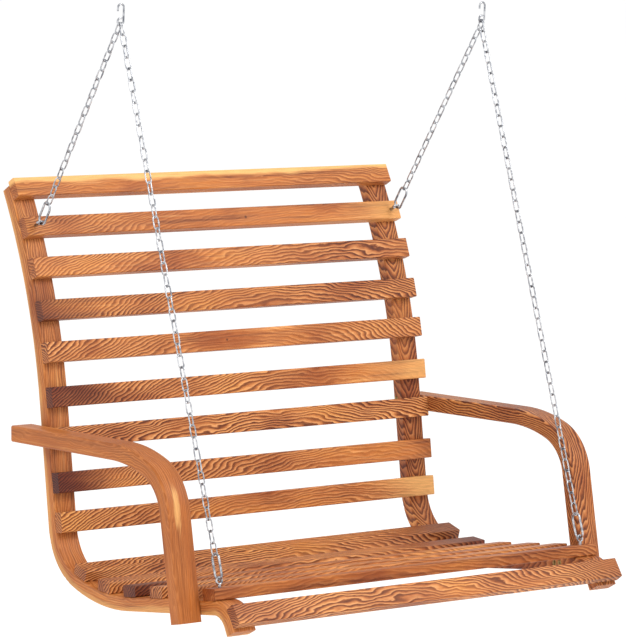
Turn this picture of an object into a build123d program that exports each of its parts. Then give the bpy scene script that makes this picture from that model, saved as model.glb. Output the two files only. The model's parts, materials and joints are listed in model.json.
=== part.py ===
from build123d import *
import os
from math import cos, degrees, radians, sin

# A hanging porch swing: two bent side frames, sixteen slats, two bent arms, four chain legs
# and two hooks.

os.makedirs("parts", exist_ok=True)

# ---------------------------------------------------------------- driving dimensions (mm, degrees)
SLAT_LENGTH = 920.0          # also the width over the two side frames
SLAT_WIDTH = 40.0
SLAT_THICK = 22.0
SLAT_ROUND = 2.5

FRAME_WIDTH = 50.0           # along X
FRAME_THICK = 27.0
FRAME_ROUND = 3.0

ARM_WIDTH = 50.0             # along X
ARM_THICK = 32.0
ARM_ROUND = 4.0

CHAIN_X = 437.0              # hooks and chains are near the planes X = +/- this
HOOK_DROP = 37.75            # from the inside of the hook's top bend down to the hinge line
HANG_TILT = 3.97             # how far the empty seat tips back so that it hangs in balance

# The slat line is the face of the side frame that the slats lie on, seen from the side with
# the arms level: u runs to the rear and v up from the hinge line.
BACK_U = 229.1               # where the straight lower back meets the curved upper back
BACK_V = -732.0
BACK_LEAN = 7.0
CROWN_RADIUS = 1200.0
CROWN_LENGTH = 438.0
LOWER_BACK = 244.0
BEND_RADIUS = 100.0
BEND_TURN = 63.0
SWEEP_RADIUS = 392.0
SWEEP_TURN = 26.2
SEAT_RUN = 288.0
NOSE_RADIUS = 60.0
NOSE_TURN = 69.2
NOSE_TIP = 18.0

# Slat centres, as distances along the slat line from the frame's top end.
BACK_SLATS = [12.5, 94.5, 176.5, 261.0, 342.5, 429.0, 508.0, 595.0, 672.0]
SEAT_SLATS = [810.0, 897.0, 986.0, 1076.0, 1160.0, 1249.0]
NOSE_SLAT = 1324.5
CONCAVE_START = 665.0        # slats centred from here to the next value lie in the hollow of the bend
CONCAVE_END = 990.0

# The arm's centre line in the same side view.
ARM_REAR_U = 279.0
ARM_V = -794.0
ARM_LEVEL = 346.0
ARM_EASY_RADIUS = 334.0
ARM_EASY_TURN = 20.0
ARM_TIGHT_RADIUS = 99.0
ARM_TIGHT_TURN = 60.0
ARM_LEG = 205.0
ARM_SCREWS = [(242.0, -785.0), (229.5, -793.0), (-268.0, -1065.0), (-283.0, -1063.4)]

LINK_WIRE = 2.8
LINK_INNER = 22.3            # inner length
LINK_WIDTH = 14.0            # over the wires
BIG_WIRE = 4.5
BIG_INNER = 45.0
BIG_WIDTH = 26.0
LINK_GAP = 0.2               # play between the connecting link and its neighbours
HOOK_GAP = 1.5               # play between the top link and the hook's loop
FRONT_LINKS = 46
REAR_LINKS = 20
CHAIN_APART = 1.75           # front chains are this much inboard of CHAIN_X, rear chains outboard

HOOK_WIRE = 3.8
HOOK_RADIUS = 6.6            # centre line of both bends
HOOK_SHANK = 26.45           # straight part between the bends
HOOK_CLOSE = 67.0            # where the closed loop's wire starts, round from +X
HOOK_TIP = 7.0               # straight tip of the open bend

EYE_WIRE = 4.5
EYE_RADIUS = 6.0             # centre line of the ring
EYE_SHANK = 6.0
EYE_HOLE = 6.4
REAR_EYE_UP = 17.7           # ring centre above the slat's face
FRONT_EYE_UP = 12.5
THREAD_OUT = 3.0             # thread beyond the nut
WASHER_OUTER = 12.0
WASHER_THICK = 1.6
WASHER_PLAY = 0.05           # the flat washers bridge the hollow back of the bent frames
NUT_FLATS = 10.0
NUT_THICK = 5.0

SCREW_SHANK = 4.0
SCREW_HEAD = 8.0
SCREW_SLOT = (1.2, 1.6)      # width, and twice the depth, of the slot in a head
SCREW_BITE = 17.0            # how far a slat screw goes into its slat
ARM_SCREW_SHANK = 6.0
ARM_SCREW_HEAD = 12.0
ARM_SCREW_SLOT = (1.6, 2.4)
ARM_SCREW_BITE = 26.0
SCREW_PLAY = 0.1             # holes are this much larger in radius than the screws

# ---------------------------------------------------------------- derived dimensions
FRAME_X = (SLAT_LENGTH - FRAME_WIDTH) / 2
ARM_X = (SLAT_LENGTH + ARM_WIDTH) / 2
FRONT_CHAIN_X = CHAIN_X - CHAIN_APART
REAR_CHAIN_X = CHAIN_X + CHAIN_APART
REAR_EYE_SLAT = BACK_SLATS[1]
FRONT_EYE_SLAT = SEAT_SLATS[-1]
SEAT_ANGLE = 270 - BACK_LEAN - BEND_TURN - SWEEP_TURN
SLAT_LIFT = SLAT_WIDTH**2 / (8 * SWEEP_RADIUS) + 0.05    # a flat slat bridges the hollow
SIDES = {"left": -1, "right": 1}
X_DIR = Vector(1, 0, 0)


def direction(angle):
    """Unit vector in the side view at an angle counterclockwise from u."""
    return (cos(radians(angle)), sin(radians(angle)))


def side_plane(x):
    """The side view at a given X, tipped by the hanging tilt about the hinge line."""
    tilt = radians(HANG_TILT)
    return Plane(origin=(x, 0, -HOOK_DROP), x_dir=(0, cos(tilt), -sin(tilt)), z_dir=(1, 0, 0))


def draw_frame_line(depth):
    """Draw the line at a depth under the slat line, from the frame's top end to its nose."""
    crown_turn = degrees(CROWN_LENGTH / CROWN_RADIUS)
    into = direction(-BACK_LEAN)
    out = direction(180 - BACK_LEAN - crown_turn)
    reach = CROWN_RADIUS - depth
    top = (
        BACK_U + CROWN_RADIUS * into[0] + reach * out[0],
        BACK_V + CROWN_RADIUS * into[1] + reach * out[1],
    )
    crown = JernArc(top, direction(270 - BACK_LEAN - crown_turn), reach, crown_turn)
    back = PolarLine(crown @ 1, LOWER_BACK, 270 - BACK_LEAN)
    bend = JernArc(back @ 1, direction(270 - BACK_LEAN), BEND_RADIUS + depth, -BEND_TURN)
    sweep_arc = JernArc(bend @ 1, direction(SEAT_ANGLE + SWEEP_TURN), SWEEP_RADIUS + depth, -SWEEP_TURN)
    seat = PolarLine(sweep_arc @ 1, SEAT_RUN, SEAT_ANGLE)
    nose = JernArc(seat @ 1, direction(SEAT_ANGLE), NOSE_RADIUS - depth, NOSE_TURN)
    PolarLine(nose @ 1, NOSE_TIP, SEAT_ANGLE + NOSE_TURN)


def draw_arm_line():
    """Draw the arm's centre line, from its rear end to its foot."""
    level = Line((ARM_REAR_U, ARM_V), (ARM_REAR_U - ARM_LEVEL, ARM_V))
    easy = JernArc(level @ 1, direction(180), ARM_EASY_RADIUS, ARM_EASY_TURN)
    tight = JernArc(easy @ 1, direction(180 + ARM_EASY_TURN), ARM_TIGHT_RADIUS, ARM_TIGHT_TURN)
    PolarLine(tight @ 1, ARM_LEG, 180 + ARM_EASY_TURN + ARM_TIGHT_TURN)


def slat_plane(along, x=0.0, lift=0.0):
    """Plane on the slat line at a distance from the frame's top, its normal into the slat."""
    point = SLAT_LINE.position_at(along, position_mode=PositionMode.LENGTH)
    run = SLAT_LINE.tangent_at(along, position_mode=PositionMode.LENGTH)
    normal = run.cross(X_DIR)
    return Plane(origin=point + X_DIR * x + normal * lift, x_dir=X_DIR, z_dir=normal)


def lift_of(along):
    """A slat in the hollow of the sweep stands on its two edges, the others lie flat."""
    return SLAT_LIFT if CONCAVE_START < along < CONCAVE_END else 0.0


def screw_planes(alongs, side_x):
    """Planes on the slat line, with normals into the slats, for the screws at one or more X."""
    return [slat_plane(along, x) for along in alongs for x in side_x]


def save(builder, name):
    """Label a finished piece and write it."""
    builder.part.label = name
    export_step(builder.part, f"parts/{name}.step")


with BuildLine(side_plane(0)) as slat_line:
    draw_frame_line(0)
SLAT_LINE = slat_line.wires()[0]

BACK_SCREWED = [s for s in BACK_SLATS if s != REAR_EYE_SLAT]
SEAT_SCREWED = [s for s in SEAT_SLATS if s != FRONT_EYE_SLAT] + [NOSE_SLAT]

# ---------------------------------------------------------------- side frames
for side, sign in SIDES.items():
    frame_x = sign * FRAME_X
    slat_screws = screw_planes(BACK_SCREWED + SEAT_SCREWED, [frame_x])
    eye_bolts = [
        slat_plane(REAR_EYE_SLAT, sign * REAR_CHAIN_X),
        slat_plane(FRONT_EYE_SLAT, sign * FRONT_CHAIN_X),
    ]
    with BuildPart() as side_frame:
        with BuildLine(side_plane(frame_x)) as bent_strip:
            draw_frame_line(FRAME_THICK / 2)
        with BuildSketch(Plane(origin=bent_strip.line @ 0, x_dir=X_DIR, z_dir=bent_strip.line % 0)):
            RectangleRounded(FRAME_WIDTH, FRAME_THICK, FRAME_ROUND)
        sweep()
        with Locations(*slat_screws):
            Cylinder(SCREW_SHANK / 2 + SCREW_PLAY, 3 * FRAME_THICK, mode=Mode.SUBTRACT)
        with Locations(*[plane.offset(-FRAME_THICK) for plane in slat_screws]):
            Cone(SCREW_HEAD / 2 + SCREW_PLAY, 0, SCREW_HEAD / 2 + SCREW_PLAY,
                 align=(Align.CENTER, Align.CENTER, Align.MIN), mode=Mode.SUBTRACT)
        with Locations(*eye_bolts):
            Cylinder(EYE_HOLE / 2, 3 * FRAME_THICK, mode=Mode.SUBTRACT)
        with Locations(side_plane(frame_x)):
            with Locations(*ARM_SCREWS):
                Cylinder(ARM_SCREW_SHANK / 2 + SCREW_PLAY, 2 * FRAME_WIDTH, mode=Mode.SUBTRACT)
        inner_face = side_plane(frame_x - sign * FRAME_WIDTH / 2)
        with Locations(inner_face):
            with Locations(*ARM_SCREWS):
                Cone(ARM_SCREW_HEAD / 2 + SCREW_PLAY, 0, ARM_SCREW_HEAD / 2 + SCREW_PLAY,
                     rotation=(0, 0 if sign > 0 else 180, 0),
                     align=(Align.CENTER, Align.CENTER, Align.MIN), mode=Mode.SUBTRACT)
    save(side_frame, f"{side}_side_frame")

# ---------------------------------------------------------------- arms
for side, sign in SIDES.items():
    arm_x = sign * ARM_X
    with BuildPart() as arm:
        with BuildLine(side_plane(arm_x)) as arm_strip:
            draw_arm_line()
        with BuildSketch(Plane(origin=arm_strip.line @ 0, x_dir=X_DIR, z_dir=arm_strip.line % 0)):
            RectangleRounded(ARM_WIDTH, ARM_THICK, ARM_ROUND)
        sweep()
        with Locations(side_plane(sign * SLAT_LENGTH / 2)):
            with Locations(*ARM_SCREWS):
                Cylinder(ARM_SCREW_SHANK / 2 + SCREW_PLAY, 2 * (ARM_SCREW_BITE + 1), mode=Mode.SUBTRACT)
    save(arm, f"{side}_arm")

# ---------------------------------------------------------------- slats
SLAT_NAMES = {along: f"back_slat_{n}" for n, along in enumerate(BACK_SLATS, 1)}
SLAT_NAMES |= {along: f"seat_slat_{n}" for n, along in enumerate(SEAT_SLATS, 1)}
SLAT_NAMES[NOSE_SLAT] = "front_edge_slat"

for along, name in SLAT_NAMES.items():
    if along == REAR_EYE_SLAT:
        holes, radius, depth = REAR_CHAIN_X, EYE_HOLE / 2, 3 * SLAT_THICK
    elif along == FRONT_EYE_SLAT:
        holes, radius, depth = FRONT_CHAIN_X, EYE_HOLE / 2, 3 * SLAT_THICK
    else:
        holes, radius, depth = FRAME_X, SCREW_SHANK / 2 + SCREW_PLAY, 2 * (SCREW_BITE + 1)
    with BuildPart(slat_plane(along, lift=lift_of(along))) as slat:
        Box(SLAT_LENGTH, SLAT_WIDTH, SLAT_THICK, align=(Align.CENTER, Align.CENTER, Align.MIN))
        fillet(slat.edges().filter_by(Axis.X), SLAT_ROUND)
        with Locations((-holes, 0), (holes, 0)):
            Cylinder(radius, depth, mode=Mode.SUBTRACT)
    save(slat, name)

# ---------------------------------------------------------------- screws
with BuildPart() as slat_screw:
    Cylinder(SCREW_SHANK / 2, FRAME_THICK + SCREW_BITE, align=(Align.CENTER, Align.CENTER, Align.MIN))
    Cone(SCREW_HEAD / 2, 0, SCREW_HEAD / 2, align=(Align.CENTER, Align.CENTER, Align.MIN))
    Box(SCREW_SLOT[0], SCREW_HEAD, SCREW_SLOT[1], mode=Mode.SUBTRACT)

for group, alongs in {"back_slat_screws": BACK_SCREWED, "seat_slat_screws": SEAT_SCREWED}.items():
    with BuildPart() as screws:
        planes = screw_planes(alongs, [-FRAME_X, FRAME_X])
        with Locations(*[plane.offset(-FRAME_THICK) for plane in planes]):
            add(slat_screw.part)
    save(screws, group)

with BuildPart() as arm_screw:
    Cylinder(ARM_SCREW_SHANK / 2, FRAME_WIDTH + ARM_SCREW_BITE, align=(Align.CENTER, Align.CENTER, Align.MIN))
    Cone(ARM_SCREW_HEAD / 2, 0, ARM_SCREW_HEAD / 2, align=(Align.CENTER, Align.CENTER, Align.MIN))
    Box(ARM_SCREW_SLOT[0], ARM_SCREW_HEAD, ARM_SCREW_SLOT[1], mode=Mode.SUBTRACT)

with BuildPart() as arm_screws:
    for sign in SIDES.values():
        with Locations(side_plane(sign * (FRAME_X - FRAME_WIDTH / 2))):
            with Locations(*[Location((u, v, 0), (0, 0 if sign > 0 else 180, 0)) for u, v in ARM_SCREWS]):
                add(arm_screw.part)
save(arm_screws, "arm_screws")

# ---------------------------------------------------------------- eye bolts, washers and nuts
EYES = {
    "rear": (REAR_EYE_SLAT, REAR_CHAIN_X, REAR_EYE_UP),
    "front": (FRONT_EYE_SLAT, FRONT_CHAIN_X, FRONT_EYE_UP),
}
WASHER_FACE = FRAME_THICK + WASHER_PLAY + WASHER_THICK    # the washers' far side under the slat line
UNDER = WASHER_FACE + NUT_THICK + THREAD_OUT

for side, sign in SIDES.items():
    for end, (along, x, up) in EYES.items():
        ring_height = SLAT_THICK + up
        with BuildPart(slat_plane(along, sign * x, lift_of(along))) as eye_bolt:
            with Locations((0, 0, -UNDER)):
                Cylinder(EYE_SHANK / 2, UNDER + ring_height - EYE_RADIUS,
                         align=(Align.CENTER, Align.CENTER, Align.MIN))
            with Locations((0, 0, ring_height)):
                Torus(EYE_RADIUS, EYE_WIRE / 2, rotation=(90, 0, 0))
        save(eye_bolt, f"{side}_{end}_eye_bolt")

EYE_PLANES = [
    slat_plane(along, sign * x, lift_of(along))
    for along, x, _ in EYES.values()
    for sign in SIDES.values()
]
NUT_PLANES = [plane.offset(-WASHER_FACE) for plane in EYE_PLANES]

with BuildPart() as washers:
    with Locations(*NUT_PLANES):
        Cylinder(WASHER_OUTER / 2, WASHER_THICK, align=(Align.CENTER, Align.CENTER, Align.MIN))
        Cylinder(EYE_HOLE / 2, 3 * WASHER_THICK, mode=Mode.SUBTRACT)
save(washers, "eye_bolt_washers")

with BuildPart() as nut:
    with BuildSketch():
        RegularPolygon(NUT_FLATS / 2, 6, major_radius=False)
        Circle(EYE_SHANK / 2 + SCREW_PLAY / 2, mode=Mode.SUBTRACT)
    extrude(amount=-NUT_THICK)

with BuildPart() as nuts:
    with Locations(*NUT_PLANES):
        add(nut.part)
save(nuts, "eye_bolt_nuts")


# ---------------------------------------------------------------- chains
def make_link(inner_length, width, wire):
    """A chain link round the origin, long along X and flat in XY."""
    half_straight = (inner_length + 2 * wire - width) / 2
    bend = (width - wire) / 2
    with BuildPart() as link:
        with BuildLine():
            near = Line((-half_straight, -bend), (half_straight, -bend))
            right = JernArc(near @ 1, (1, 0), bend, 180)
            far = Line(right @ 1, (-half_straight, bend))
            JernArc(far @ 1, (-1, 0), bend, 180)
        with BuildSketch(Plane(origin=near @ 0, z_dir=(1, 0, 0))):
            Circle(wire / 2)
        sweep()
    return link.part


small_link = make_link(LINK_INNER, LINK_WIDTH, LINK_WIRE)
big_link = make_link(BIG_INNER, BIG_WIDTH, BIG_WIRE)
hinge = Vector(0, 0, -HOOK_DROP)
first_link = (LINK_INNER - HOOK_WIRE) / 2 - HOOK_GAP

for end, (along, x, up) in EYES.items():
    count = FRONT_LINKS if end == "front" else REAR_LINKS
    ring_tip = slat_plane(along, lift=SLAT_THICK + up + EYE_RADIUS).origin
    leg = ring_tip - hinge
    run = leg.normalized()
    big_centre = leg.length + EYE_WIRE / 2 + LINK_GAP - BIG_INNER / 2
    last_link = big_centre - BIG_INNER / 2 - LINK_INNER / 2 + LINK_GAP
    pitch = (last_link - first_link) / (count - 1)
    print(f"{end} chain: {leg.length:.1f} mm, pitch {pitch:.2f} mm for links {LINK_INNER} mm inside")
    for side, sign in SIDES.items():
        line_start = hinge + X_DIR * (sign * x)
        flat = Plane(origin=line_start, x_dir=run, z_dir=X_DIR)
        with BuildPart() as chain:
            for n in range(count):
                with Locations(flat):
                    with Locations(Location((first_link + n * pitch, 0, 0), (90 * (n % 2), 0, 0))):
                        add(small_link)
        save(chain, f"{side}_{end}_chain")
        with BuildPart() as connector:
            with Locations(flat):
                with Locations((big_centre, 0, 0)):
                    add(big_link)
        save(connector, f"{side}_{end}_connecting_link")

# ---------------------------------------------------------------- hooks
for side, sign in SIDES.items():
    with BuildPart() as hook:
        upright = Plane(origin=(sign * CHAIN_X, 0, -HOOK_DROP), x_dir=(1, 0, 0), z_dir=(0, -1, 0))
        with BuildLine(upright) as wire:
            loop = CenterArc((0, HOOK_RADIUS), HOOK_RADIUS, HOOK_CLOSE, 360 - HOOK_CLOSE)
            shank = Line(loop @ 1, (HOOK_RADIUS, HOOK_RADIUS + HOOK_SHANK))
            CenterArc((0, HOOK_RADIUS + HOOK_SHANK), HOOK_RADIUS, 0, 180)
            mouth = (-HOOK_RADIUS, HOOK_RADIUS + HOOK_SHANK)
            Line(mouth, (mouth[0], mouth[1] - HOOK_TIP))
        with BuildSketch(Plane(origin=wire.line @ 0, z_dir=wire.line % 0)):
            Circle(HOOK_WIRE / 2)
        sweep()
    save(hook, f"{side}_hook")
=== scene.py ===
import json
import math

import bpy
import numpy as np
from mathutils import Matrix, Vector


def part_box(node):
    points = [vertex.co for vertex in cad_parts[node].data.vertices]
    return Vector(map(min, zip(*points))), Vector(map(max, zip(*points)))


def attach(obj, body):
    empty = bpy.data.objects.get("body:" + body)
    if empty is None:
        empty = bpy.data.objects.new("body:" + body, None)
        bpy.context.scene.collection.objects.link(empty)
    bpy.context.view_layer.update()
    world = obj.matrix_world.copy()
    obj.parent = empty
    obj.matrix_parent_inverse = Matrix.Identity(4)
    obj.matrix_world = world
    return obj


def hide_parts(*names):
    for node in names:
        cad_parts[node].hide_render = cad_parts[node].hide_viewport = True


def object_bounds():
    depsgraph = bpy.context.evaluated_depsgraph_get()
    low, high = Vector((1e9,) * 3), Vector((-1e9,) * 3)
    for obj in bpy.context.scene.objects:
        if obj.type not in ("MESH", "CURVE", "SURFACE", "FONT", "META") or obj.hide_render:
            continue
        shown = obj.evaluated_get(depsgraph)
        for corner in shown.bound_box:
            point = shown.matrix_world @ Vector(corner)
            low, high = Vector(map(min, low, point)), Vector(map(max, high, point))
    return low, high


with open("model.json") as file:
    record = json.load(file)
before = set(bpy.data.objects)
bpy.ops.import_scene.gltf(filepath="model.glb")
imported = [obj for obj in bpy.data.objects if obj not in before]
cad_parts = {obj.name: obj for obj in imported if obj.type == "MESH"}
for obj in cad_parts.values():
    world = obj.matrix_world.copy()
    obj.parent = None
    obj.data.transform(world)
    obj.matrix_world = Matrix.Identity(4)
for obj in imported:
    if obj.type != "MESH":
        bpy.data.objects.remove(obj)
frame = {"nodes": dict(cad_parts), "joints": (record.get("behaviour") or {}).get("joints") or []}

CAD_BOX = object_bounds()
NODES = frame["nodes"]
MM = 0.001

# ---------------------------------------------------------------- the bent members' lines, in millimetres
# Side view from the hinge line, with the arms level: u to the rear, v up.
HANG_TILT = math.radians(3.97)
BACK_KNEE = (229.1, -732.0)
BACK_HEADING = 263.0
CROWN_RUNS = [(438.0, -20.9)]
FRAME_RUNS = [(244.0, 0.0), (110.0, -63.0), (179.2, -26.2), (288.0, 0.0), (72.5, 69.2), (18.0, 0.0)]
ARM_REAR = (279.0, -794.0)
ARM_HEADING = 180.0
ARM_RUNS = [(346.0, 0.0), (116.6, 20.0), (103.7, 60.0), (205.0, 0.0)]
WALK_STEP = 2.0

# ---------------------------------------------------------------- chain links, in millimetres
LINK_INNER = 22.3
LINK_WIDTH = 14.0
LINK_WIRE = 2.8
LINK_COUNTS = {"front": 46, "rear": 20}
WELD_BULGE = 0.14
WELD_LENGTH = 1.6
WIRE_SIDES = 12
BEND_STEPS = 14
RUN_STEPS = 8


# ---------------------------------------------------------------- node helpers
class Shader:
    """Builds a material's node tree, one small call for each node."""

    def __init__(self, name):
        self.material = bpy.data.materials.new(name)
        self.material.use_nodes = True
        self.tree = self.material.node_tree
        self.principled = self.tree.nodes["Principled BSDF"]

    def put(self, socket, value):
        if isinstance(value, bpy.types.NodeSocket):
            self.tree.links.new(value, socket)
        else:
            socket.default_value = value

    def node(self, kind, *inputs, **settings):
        """A node with its settings, and its inputs in order, each a socket to link or a value."""
        made = self.tree.nodes.new("ShaderNode" + kind)
        for key, value in settings.items():
            setattr(made, key, value)
        for socket, value in zip(made.inputs, inputs):
            self.put(socket, value)
        return made

    def math(self, operation, *inputs):
        return self.node("Math", *inputs, operation=operation).outputs[0]

    def mix(self, share, first, second, blend="MIX"):
        """Two colours mixed by share."""
        return self.node("MixRGB", share, first, second, blend_type=blend).outputs[0]

    def bump(self, height, strength, distance):
        """Lets a height shade the surface as if it were really uneven."""
        made = self.node("Bump")
        made.inputs["Strength"].default_value = strength
        made.inputs["Distance"].default_value = distance
        self.put(made.inputs["Height"], height)
        self.put(self.principled.inputs["Normal"], made.outputs[0])

    def stretch(self, vector, scales, shift=(0, 0, 0)):
        """The vector times a scale along each of its directions, and shifted."""
        made = self.node("Mapping", vector)
        made.inputs["Scale"].default_value = scales
        made.inputs["Location"].default_value = shift
        return made.outputs[0]

    def noise(self, vector, scale=1.0, detail=2.0, roughness=0.5):
        """Noise about 0.5, at a scale in features per metre."""
        made = self.node("TexNoise")
        self.put(made.inputs["Vector"], vector)
        made.inputs["Scale"].default_value = scale
        made.inputs["Detail"].default_value = detail
        made.inputs["Roughness"].default_value = roughness
        return made.outputs[0]

    def ramp(self, value, stops):
        """A colour ramp of (place, colour) stops."""
        made = self.node("ValToRGB", value)
        line = made.color_ramp
        while len(line.elements) < len(stops):
            line.elements.new(0.5)
        for element, (place, colour) in zip(line.elements, stops):
            element.position = place
            element.color = colour
        return made.outputs[0]

    def spread(self, value, low, high, to_low=0.0, to_high=1.0):
        """The range low to high taken smoothly to another range, and clamped."""
        made = self.node("MapRange", value, low, high, to_low, to_high)
        made.interpolation_type = "SMOOTHSTEP"
        return made.outputs[0]


def srgb(red, green, blue):
    """A colour in display values 0 to 255 as the linear colour that nodes take."""
    def linear(value):
        share = value / 255
        return share / 12.92 if share <= 0.04045 else ((share + 0.055) / 1.055) ** 2.4
    return (linear(red), linear(green), linear(blue), 1.0)


def grey(value):
    return (value, value, value, 1.0)


# ---------------------------------------------------------------- wood
# One board's look. Lengths are in metres, except where they are said to be in mm.
# seed: which piece of the tree it is cut from.
# figure: how bold the rings are at the left, in the middle and at the right.
# heart: where the tree's heart lies, across and into the board.
# slope: how steeply the rings cross the board, at the left and at the right.
# spacing: mm from ring to ring. wave: how far the rings wander.
# tone: how far the colour is evened out. shade: how far it is darkened.
# knot: where it is along and across, and its radius in mm.
# flame: where a pale tongue is along and across, and its reach along and across.
# band: sapwood on one side: the direction (1 across, 2 into the board), where it starts and where
# it is full, and how strong it is.
# dark_left, dark_right, pale_right: how strong the stain at that end is.
# sawn_ends: how far the cut ends are darkened.
PLAIN = {
    "seed": 0.0, "figure": (0.9, 0.9, 0.9), "heart": (-0.055, -0.035), "slope": (-0.5, 0.4),
    "spacing": 5.3, "wave": 0.030, "tone": 0.0, "shade": 0.0, "knot": None, "flame": None,
    "band": None, "dark_left": 0.0, "dark_right": 0.0, "pale_right": 0.0, "sawn_ends": 0.0,
}
LOOKS = {
    "back_slat_1": {"seed": 1.3, "figure": (0.35, 0.15, 0.55), "slope": (-0.08, 0.1), "shade": 0.25,
                    "spacing": 4.5, "band": (1, 0.020, 0.030, 0.9)},
    "back_slat_2": {"seed": 2.7, "figure": (0.6, 0.15, 0.25), "slope": (-0.3, 0.05), "spacing": 4.5,
                    "shade": 0.2, "pale_right": 0.45, "knot": (0.065, -0.002, 4.0)},
    "back_slat_3": {"seed": 3.1, "figure": (0.85, 0.45, 1.0), "slope": (-0.45, 0.12)},
    "back_slat_4": {"seed": 4.9, "figure": (1.0, 1.0, 1.0), "slope": (-0.6, 0.35), "dark_left": 0.8,
                    "shade": 0.2},
    "back_slat_5": {"seed": 5.2, "figure": (1.0, 0.1, 0.8), "slope": (-0.45, 0.45),
                    "knot": (-0.035, 0.0, 3.4)},
    "back_slat_6": {"seed": 6.8, "figure": (0.9, 0.85, 0.2), "slope": (-0.6, 0.3), "dark_left": 1.0,
                    "pale_right": 0.5},
    "back_slat_7": {"seed": 7.4, "figure": (1.0, 1.0, 1.0), "slope": (-0.35, 0.3), "wave": 0.04},
    "back_slat_8": {"seed": 8.6, "figure": (1.0, 0.8, 0.25), "slope": (-0.6, 0.2), "dark_left": 1.0},
    "back_slat_9": {"seed": 9.5, "figure": (0.9, 0.4, 0.6), "slope": (-0.35, 0.15), "pale_right": 0.7,
                    "spacing": 5.0},
    "seat_slat_1": {"seed": 10.2, "figure": (1.0, 1.0, 1.0), "slope": (-0.4, 0.4), "dark_right": 0.6},
    "seat_slat_2": {"seed": 11.8, "figure": (0.9, 0.9, 0.9), "dark_right": 1.0},
    "seat_slat_3": {"seed": 12.1, "figure": (0.9, 0.7, 0.6), "dark_left": 0.8},
    "seat_slat_4": {"seed": 13.9, "figure": (1.0, 0.6, 0.6)},
    "seat_slat_5": {"seed": 14.4, "figure": (0.7, 0.6, 0.6), "dark_left": 0.5},
    "seat_slat_6": {"seed": 15.3, "figure": (0.3, 0.25, 0.6), "slope": (-0.1, 0.2), "shade": 0.4},
    "front_edge_slat": {"seed": 16.6, "figure": (0.9, 0.8, 0.9), "slope": (-0.3, 0.5),
                        "dark_right": 0.5, "wave": 0.04},
    "left_side_frame": {"seed": 17.2, "figure": (0.5, 0.3, 0.3), "slope": (0.05, 0.05),
                        "spacing": 4.5, "shade": 0.2, "band": (2, 0.026, 0.038, 0.45)},
    "right_side_frame": {"seed": 18.7, "figure": (0.85, 0.85, 0.7), "heart": (-0.006, 0.006),
                         "slope": (0.35, 0.3), "spacing": 6.5, "wave": 0.036, "shade": 0.5},
    "left_arm": {"seed": 19.4, "figure": (0.2, 0.55, 0.25), "slope": (0.04, 0.06), "spacing": 3.6,
                 "tone": 0.35, "shade": 0.4, "flame": (0.178, -0.006, 0.034, 0.007)},
    "right_arm": {"seed": 20.9, "figure": (1.0, 1.0, 0.9), "heart": (-0.04, -0.045),
                  "slope": (-0.25, 0.35), "spacing": 4.8, "wave": 0.026, "shade": 0.35},
}
EARLY = srgb(247, 184, 122)
MIDDLE = srgb(208, 134, 75)
LATE = srgb(142, 78, 36)
LATEST = srgb(94, 42, 16)
SMOKE = srgb(150, 108, 106)
SAP = srgb(248, 190, 116)
HONEY = srgb(206, 124, 52)
SHADE = srgb(196, 160, 122)
END_GRAIN = srgb(196, 160, 136)
KNOT = srgb(80, 40, 24)
WHITE = srgb(255, 255, 255)
RING_STOPS = [(0.0, EARLY), (0.36, MIDDLE), (0.58, LATE), (0.78, LATEST), (0.90, LATE), (1.0, EARLY)]
CALM_STOPS = [(0.33, LATE), (0.45, MIDDLE), (0.56, HONEY), (0.70, EARLY)]
TINT_STOPS = [(0.32, srgb(196, 162, 144)), (0.54, srgb(246, 236, 226)), (0.70, srgb(255, 250, 222))]
FIBRE_STOPS = [(0.32, srgb(200, 192, 184)), (0.60, WHITE)]
STAINS = [
    ("dark_left", -1, SMOKE, "MULTIPLY"), ("dark_right", 1, SMOKE, "MULTIPLY"),
    ("pale_right", 1, SAP, "MIX"),
]
# Each noise in the wood: features per metre along, across and into the board, detail, roughness.
GRAINS = {
    "wave": ((8, 22, 22), 2.0, 0.5),
    "ripple": ((46, 110, 110), 2.0, 0.5),
    "patch": ((5, 12, 12), 2.0, 0.5),
    "streak": ((3, 90, 90), 4.0, 0.6),
    "cloud": ((6, 14, 14), 3.0, 0.5),
    "wander": ((7, 20, 20), 2.0, 0.5),
    "tongue": ((24, 160, 160), 3.0, 0.5),
    "fibre": ((30, 1400, 1400), 3.0, 0.6),
}
SEED_STEP = (5.0, 2.0, 1.0)
RIPPLE = 0.0045
FIGURE_PLACES = (0.15, 0.5, 0.85)
PATCH_EDGE = (0.32, 0.50)
PATCH_BOLDNESS = (0.60, 1.0)
TINT_SHARE = 0.9
STAIN_DEPTH = 0.20
STAIN_FADE = 0.22
STAIN_RAGGED = 0.22
SAWN_SHARE = 0.5
SAWN_FACING = (0.6, 0.9)
BAND_RAGGED = 0.03
FLAME_RAGGED = 2.4
FLAME_EDGE = (2.6, 1.5)
FLAME_SHARE = 0.6
FIBRE_SHARE = 0.7
KNOT_CORE = 0.4
KNOT_SHARE = 0.85
WOOD_ROUGHNESS = 0.40
FIBRE_ROUGHNESS = 0.22
WOOD_SPECULAR = 0.3
RING_RELIEF = 0.55
WOOD_BUMP = (0.35, 0.0006)


def grain_noise(shader, shifted, kind):
    """One of the wood's noises, drawn out along the board."""
    scales, detail, roughness = GRAINS[kind]
    return shader.noise(shader.stretch(shifted, scales), 1.0, detail, roughness)


def distance(shader, vector):
    return shader.node("VectorMath", vector, operation="LENGTH").outputs["Value"]


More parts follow.
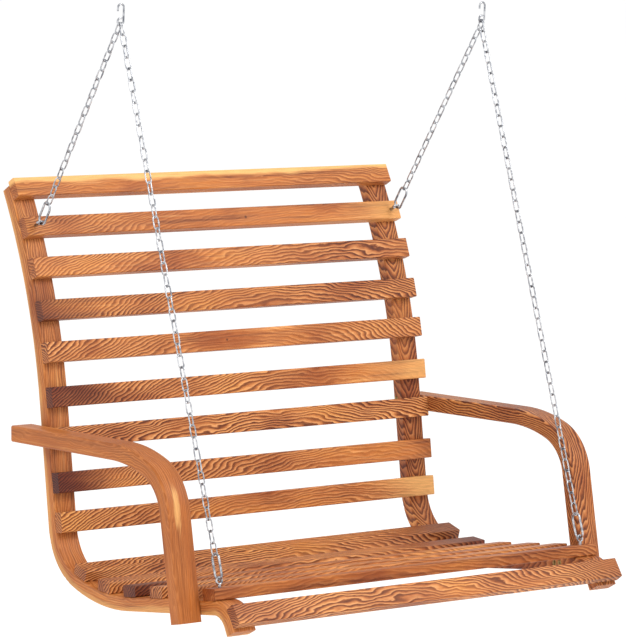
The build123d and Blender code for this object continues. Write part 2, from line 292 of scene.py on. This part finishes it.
def rings(shader, parts, shifted, look):
    """How many annual rings a point lies from the tree's heart."""
    along, across, deep = parts
    place = shader.node("CombineXYZ", across, deep, 0.0).outputs[0]
    far = distance(shader, shader.stretch(place, (1, 1, 1), (-look["heart"][0], -look["heart"][1], 0)))
    left, right = look["slope"]
    gain = shader.math("MULTIPLY_ADD", along, (right - left) / look["half_length"] / 4, (left + right) / 2)
    far = shader.math("MULTIPLY_ADD", along, gain, far)
    far = shader.math("MULTIPLY_ADD", grain_noise(shader, shifted, "wave"), look["wave"], far)
    far = shader.math("MULTIPLY_ADD", grain_noise(shader, shifted, "ripple"), RIPPLE, far)
    return shader.math("DIVIDE", far, look["spacing"] * MM)


def boldness(shader, along, shifted, look):
    """How clearly the rings show: in patches, and running from left through middle to right."""
    patch = shader.spread(grain_noise(shader, shifted, "patch"), *PATCH_EDGE, *PATCH_BOLDNESS)
    share = shader.math("MULTIPLY_ADD", along, 0.5 / look["half_length"], 0.5)
    stops = [(place, grey(value)) for place, value in zip(FIGURE_PLACES, look["figure"])]
    return shader.math("MULTIPLY", patch, shader.ramp(share, stops))


def stain_ends(shader, colour, along, cloud, look):
    """Dark smoky or pale sapwood ends, with ragged fronts."""
    ragged = shader.math("MULTIPLY_ADD", cloud, STAIN_RAGGED, along)
    for key, end, stain, blend in STAINS:
        if look[key]:
            reach = shader.math("MULTIPLY", ragged, float(end))
            start = look["half_length"] - STAIN_DEPTH + STAIN_RAGGED / 2 * end
            share = shader.spread(reach, start, start + STAIN_FADE, 0.0, look[key])
            colour = shader.mix(share, colour, stain, blend)
    return colour


def darken_sawn_ends(shader, colour, look):
    facing = shader.node("SeparateXYZ", shader.node("TexCoord").outputs["Normal"]).outputs[0]
    share = shader.spread(shader.math("ABSOLUTE", facing), *SAWN_FACING, 0.0, look["sawn_ends"])
    return shader.mix(share, colour, END_GRAIN, "MULTIPLY")


def add_band(shader, colour, parts, shifted, look):
    """Pale sapwood on one side of a board."""
    part, start, full, strength = look["band"]
    wander = grain_noise(shader, shifted, "wander")
    edge = shader.math("MULTIPLY_ADD", wander, BAND_RAGGED, parts[part])
    return shader.mix(shader.spread(edge, start, full, 0.0, strength), colour, SAP)


def add_flame(shader, colour, place, shifted, look):
    """A ragged pale tongue that runs along the grain."""
    flame_along, flame_across, reach_along, reach_across = look["flame"]
    away = shader.stretch(place, (1, 1, 0), (-flame_along, -flame_across, 0))
    away = distance(shader, shader.stretch(away, (1 / reach_along, 1 / reach_across, 0)))
    away = shader.math("MULTIPLY_ADD", grain_noise(shader, shifted, "tongue"), FLAME_RAGGED, away)
    return shader.mix(shader.spread(away, *FLAME_EDGE, 0.0, FLAME_SHARE), colour, SAP)


def add_knot(shader, colour, place, look):
    knot_along, knot_across, radius = look["knot"]
    away = distance(shader, shader.stretch(place, (1, 1, 0), (-knot_along, -knot_across, 0)))
    inside = shader.spread(away, radius * MM, radius * MM * KNOT_CORE, 0.0, KNOT_SHARE)
    return shader.mix(inside, colour, KNOT)


def wood(name, grain, look):
    """Stained softwood with annual rings through its whole depth. grain gives the board's own
    directions at each point: along it, across its width and down into it, in metres."""
    shader = Shader(name)
    look = {**PLAIN, **look}
    place = grain(shader)
    parts = shader.node("SeparateXYZ", place).outputs[:3]
    along = parts[0]
    shifted = shader.stretch(place, (1, 1, 1), [look["seed"] * step for step in SEED_STEP])

    ring = shader.math("FRACT", rings(shader, parts, shifted, look))
    calm = shader.ramp(grain_noise(shader, shifted, "streak"), CALM_STOPS)
    bold = boldness(shader, along, shifted, look)
    colour = shader.mix(bold, calm, shader.ramp(ring, RING_STOPS))

    cloud = grain_noise(shader, shifted, "cloud")
    colour = shader.mix(TINT_SHARE, colour, shader.ramp(cloud, TINT_STOPS), "MULTIPLY")
    colour = shader.mix(look["tone"], colour, HONEY)
    colour = shader.mix(look["shade"], colour, SHADE, "MULTIPLY")
    colour = stain_ends(shader, colour, along, cloud, look)
    if look["sawn_ends"]:
        colour = darken_sawn_ends(shader, colour, look)
    if look["band"]:
        colour = add_band(shader, colour, parts, shifted, look)
    if look["flame"]:
        colour = add_flame(shader, colour, place, shifted, look)

    fibre = grain_noise(shader, shifted, "fibre")
    colour = shader.mix(FIBRE_SHARE, colour, shader.ramp(fibre, FIBRE_STOPS), "MULTIPLY")
    if look["knot"]:
        colour = add_knot(shader, colour, place, look)

    roughness = shader.math("MULTIPLY_ADD", fibre, FIBRE_ROUGHNESS, WOOD_ROUGHNESS)
    shader.put(shader.principled.inputs["Base Color"], colour)
    shader.put(shader.principled.inputs["Roughness"], roughness)
    shader.principled.inputs["Specular IOR Level"].default_value = WOOD_SPECULAR
    shader.bump(shader.math("MULTIPLY_ADD", ring, RING_RELIEF, fibre), *WOOD_BUMP)
    return shader.material


def straight_grain(name):
    """Grain directions of a straight board that runs along X, from the lean of its own section."""
    points = np.array([v.co for v in NODES[name].data.vertices])[:, 1:]
    middle = (points.min(0) + points.max(0)) / 2
    wide = np.linalg.eigh(np.cov((points - points.mean(0)).T))[1][:, 1]
    lean = math.atan2(wide[1], wide[0])
    if lean < -math.pi / 4 or lean > 3 * math.pi / 4:
        lean += math.pi if lean < 0 else -math.pi

    def grain(shader):
        place = shader.node("TexCoord").outputs["Object"]
        made = shader.node("Mapping", place, vector_type="TEXTURE")
        made.inputs["Location"].default_value = (0, *middle)
        made.inputs["Rotation"].default_value = (lean, 0, 0)
        return made.outputs[0]
    return grain


def paint(piece, material):
    piece.data.materials.clear()
    piece.data.materials.append(material)


def finish_slats():
    for name in [n for n in LOOKS if "slat" in n]:
        look = {**LOOKS[name], "half_length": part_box(name)[1].x, "sawn_ends": SAWN_SHARE}
        paint(NODES[name], wood(name + "_wood", straight_grain(name), look))


# ---------------------------------------------------------------- bent members
def walk(start, heading, runs):
    """Points every few millimetres along runs of (length, turn), in the side view."""
    point = np.array(start)
    points = [point]
    for length, turn in runs:
        steps = max(1, round(length / WALK_STEP))
        for _ in range(steps):
            heading += turn / steps / 2
            ahead = np.array([math.cos(math.radians(heading)), math.sin(math.radians(heading))])
            point = point + ahead * length / steps
            heading += turn / steps / 2
            points.append(point)
    return points


def hung(points):
    """Side view points as (y, z) in metres, tipped by the hanging tilt about the hinge line."""
    points = np.array(points) * MM
    cos, sin = math.cos(HANG_TILT), math.sin(HANG_TILT)
    turn = np.array([[cos, sin], [-sin, cos]])
    return points @ turn.T + np.array(frame["joints"][0]["pos_m"])[1:]


def bend_grain(piece, line):
    """Stores on a bent piece's points how far along its line, across it and deep in it they are."""
    points = np.array([v.co for v in piece.data.vertices])
    starts = line[:-1]
    runs = np.diff(line, axis=0)
    lengths = np.linalg.norm(runs, axis=1)
    before = np.concatenate([[0], np.cumsum(lengths)[:-1]])
    grain = np.zeros_like(points)
    middle = (points[:, 0].min() + points[:, 0].max()) / 2
    for index, point in enumerate(points):
        offset = point[1:] - starts
        share = np.clip((offset * runs).sum(1) / lengths**2, 0, 1)
        away = offset - runs * share[:, None]
        near = np.argmin((away**2).sum(1))
        along = before[near] + share[near] * lengths[near] - lengths.sum() / 2
        side = (runs[near][0] * offset[near][1] - runs[near][1] * offset[near][0]) / lengths[near]
        grain[index] = (along, point[0] - middle, side)
    attribute = piece.data.attributes.new("grain", "FLOAT_VECTOR", "POINT")
    attribute.data.foreach_set("vector", grain.astype(np.float32).ravel())


def stored_grain(shader):
    return shader.node("Attribute", attribute_name="grain").outputs["Vector"]


def finish_bent(name, line):
    """A copy of a bent CAD piece that knows its grain, which runs along its bends."""
    piece = bpy.data.objects.new(name + "_board", NODES[name].data.copy())
    bpy.context.scene.collection.objects.link(piece)
    bend_grain(piece, line)
    length = float(np.linalg.norm(np.diff(line, axis=0), axis=1).sum())
    paint(piece, wood(name + "_wood", stored_grain, {**LOOKS[name], "half_length": length / 2}))
    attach(piece, "seat")
    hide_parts(name)


def finish_bent_members():
    crown = walk(BACK_KNEE, BACK_HEADING - 180, CROWN_RUNS)
    frame_line = hung(crown[::-1] + walk(BACK_KNEE, BACK_HEADING, FRAME_RUNS)[1:])
    arm_line = hung(walk(ARM_REAR, ARM_HEADING, ARM_RUNS))
    for side in ("left", "right"):
        finish_bent(side + "_side_frame", frame_line)
        finish_bent(side + "_arm", arm_line)


# ---------------------------------------------------------------- steel
# Each plating: its colour, roughness and the darker colour of its painted dark reflections.
PLATINGS = {
    "zinc": (srgb(198, 199, 202), 0.26, srgb(124, 127, 134)),
    "yellow_zinc": (srgb(158, 130, 84), 0.34, srgb(118, 90, 54)),
}
CLOUD_SCALE = 110.0
SPECK_SCALE = 700.0
PAINTED_REFLECTION_EDGE = (0.35, 0.6)
SPECK_EDGE = (0.3, 0.7)
SPECK_ROUGHNESS = (-0.08, 0.10)
STEEL_BUMP = (0.15, 0.0002)


def steel(name):
    """Plated steel with painted dark reflections in cloudy patches, and a finely speckled and slightly
    uneven surface.
    """
    shader = Shader(name)
    base, roughness, painted_dark_reflection = PLATINGS[name]
    place = shader.node("TexCoord").outputs["Object"]
    cloud = shader.noise(place, CLOUD_SCALE)
    speck = shader.noise(place, SPECK_SCALE)
    smooth, rough = [roughness + change for change in SPECK_ROUGHNESS]
    # Painted dark reflection: noise clouds blend the plating colour towards a darker grey, standing in for
    # reflections of darker surroundings.
    colour = shader.ramp(cloud, list(zip(PAINTED_REFLECTION_EDGE, (painted_dark_reflection, base))))
    shader.put(shader.principled.inputs["Base Color"], colour)
    shader.put(shader.principled.inputs["Roughness"], shader.spread(speck, *SPECK_EDGE, smooth, rough))
    shader.principled.inputs["Metallic"].default_value = 1.0
    shader.bump(shader.math("ADD", cloud, speck), *STEEL_BUMP)
    return shader.material


def link_points():
    """Rings of points round a link's wire, in metres: the link is long along X and flat in XY."""
    straight = (LINK_INNER + 2 * LINK_WIRE - LINK_WIDTH) / 2
    bend = (LINK_WIDTH - LINK_WIRE) / 2
    centres, outward, bulges = [], [], []
    for end in (1, -1):
        for step in range(BEND_STEPS):
            turn = math.radians(-90 + 180 * step / BEND_STEPS)
            centres.append((end * (straight + bend * math.cos(turn)), end * bend * math.sin(turn)))
            outward.append((end * math.cos(turn), end * math.sin(turn)))
            bulges.append(1.0)
        for step in range(RUN_STEPS):
            along = straight - 2 * straight * step / RUN_STEPS
            centres.append((end * along, end * bend))
            outward.append((0.0, float(end)))
            bulges.append(1 + WELD_BULGE * math.exp(-(along / WELD_LENGTH) ** 2) if end > 0 else 1.0)
    points = []
    for (x, y), (a, b), bulge in zip(centres, outward, bulges):
        for side in range(WIRE_SIDES):
            turn = 2 * math.pi * side / WIRE_SIDES
            reach = LINK_WIRE / 2 * bulge * math.cos(turn)
            points.append((x + a * reach, y + b * reach, LINK_WIRE / 2 * bulge * math.sin(turn)))
    return np.array(points) * MM


def make_chain(name, count, material):
    """A chain of welded links along the line of its CAD node, each turned a quarter from the last."""
    points = link_points()
    loops = len(points) // WIRE_SIDES
    cad = np.array([v.co for v in NODES[name].data.vertices])
    middle = cad.mean(0)
    axis = np.linalg.eigh(np.cov((cad - middle).T))[1][:, 2]
    axis = axis if axis[2] < 0 else -axis
    reach = (cad - middle) @ axis
    half = (LINK_INNER / 2 + LINK_WIRE) * MM
    middle[0] = (cad[:, 0].min() + cad[:, 0].max()) / 2
    verts, faces = [], []
    for number, far in enumerate(np.linspace(reach.min() + half, reach.max() - half, count)):
        flat = np.cross(axis, (1, 0, 0)) if number % 2 == 0 else np.array((1.0, 0, 0))
        turn = np.stack([axis, flat, np.cross(axis, flat)])
        first = number * len(points)
        verts.extend(points @ turn + middle + axis * far)
        for loop in range(loops):
            for side in range(WIRE_SIDES):
                ahead, beside = (loop + 1) % loops, (side + 1) % WIRE_SIDES
                corners = [(loop, side), (ahead, side), (ahead, beside), (loop, beside)]
                faces.append([first + ring * WIRE_SIDES + place for ring, place in corners])
    mesh = bpy.data.meshes.new(name + "_links")
    mesh.from_pydata([tuple(v) for v in verts], [], faces)
    mesh.polygons.foreach_set("use_smooth", [True] * len(faces))
    mesh.update()
    chain = bpy.data.objects.new(name + "_links", mesh)
    bpy.context.scene.collection.objects.link(chain)
    paint(chain, material)
    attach(chain, "seat")
    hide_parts(name)


def finish_steel():
    zinc = steel("zinc")
    yellow_zinc = steel("yellow_zinc")
    for side in ("left", "right"):
        for end, count in LINK_COUNTS.items():
            make_chain(f"{side}_{end}_chain", count, zinc)
            paint(NODES[f"{side}_{end}_connecting_link"], zinc)
            paint(NODES[f"{side}_{end}_eye_bolt"], zinc)
        paint(NODES[f"{side}_hook"], zinc)
    for name in ("eye_bolt_washers", "eye_bolt_nuts"):
        paint(NODES[name], zinc)
    for name in ("back_slat_screws", "seat_slat_screws", "arm_screws"):
        paint(NODES[name], yellow_zinc)


# ---------------------------------------------------------------- camera, floor and light
CAMERA_PLACE = (-4.3375, -5.8251, 0.4514)
CAMERA_TURN = (81.600, -2.369, -36.599)
LENS = 209.73
SENSOR_WIDTH = 36
CLIP_END = 200
FLOOR_DROP = 0.45
FLOOR_REACH = 60.0
FLOOR_COLOUR = grey(0.97)
FLOOR_ROUGHNESS = 0.9
WORLD_STRENGTH = 1.05
# Each light: its place, size and power.
LIGHTS = {"key": ((1.5, -3.5, 3.0), 2.0, 120), "fill": ((-4.0, -2.0, 1.0), 3.0, 30)}


def add_camera():
    """A long lens in front of the seat's left end, a little above it, looking slightly down."""
    data = bpy.data.cameras.new("camera")
    data.lens = LENS
    data.sensor_width = SENSOR_WIDTH
    data.clip_end = CLIP_END
    camera = bpy.data.objects.new("camera", data)
    camera.location = CAMERA_PLACE
    camera.rotation_euler = [math.radians(angle) for angle in CAMERA_TURN]
    bpy.context.scene.collection.objects.link(camera)
    bpy.context.scene.camera = camera


def add_floor():
    level = CAD_BOX[0].z - FLOOR_DROP
    mesh = bpy.data.meshes.new("floor")
    corners = [(-1, -1), (1, -1), (1, 1), (-1, 1)]
    mesh.from_pydata([(x * FLOOR_REACH, y * FLOOR_REACH, level) for x, y in corners], [], [(0, 1, 2, 3)])
    floor = bpy.data.objects.new("floor", mesh)
    bpy.context.scene.collection.objects.link(floor)
    shader = Shader("floor")
    shader.principled.inputs["Base Color"].default_value = FLOOR_COLOUR
    shader.principled.inputs["Roughness"].default_value = FLOOR_ROUGHNESS
    shader.principled.inputs["Specular IOR Level"].default_value = 0.0
    paint(floor, shader.material)


def add_light(name, place, aim, size, power):
    data = bpy.data.lights.new(name, "AREA")
    data.size = size
    data.energy = power
    light = bpy.data.objects.new(name, data)
    light.location = place
    light.rotation_euler = (Vector(aim) - Vector(place)).to_track_quat("-Z", "Y").to_euler()
    bpy.context.scene.collection.objects.link(light)


def add_studio():
    world = bpy.data.worlds.new("studio")
    bpy.context.scene.world = world
    world.use_nodes = True
    world.node_tree.nodes["Background"].inputs["Color"].default_value = WHITE
    world.node_tree.nodes["Background"].inputs["Strength"].default_value = WORLD_STRENGTH
    centre = (CAD_BOX[0] + CAD_BOX[1]) / 2
    for name, (place, size, power) in LIGHTS.items():
        add_light(name, place, centre, size, power)
    bpy.context.scene.view_settings.view_transform = "Standard"


add_camera()
add_floor()
add_studio()
finish_slats()
finish_bent_members()
finish_steel()
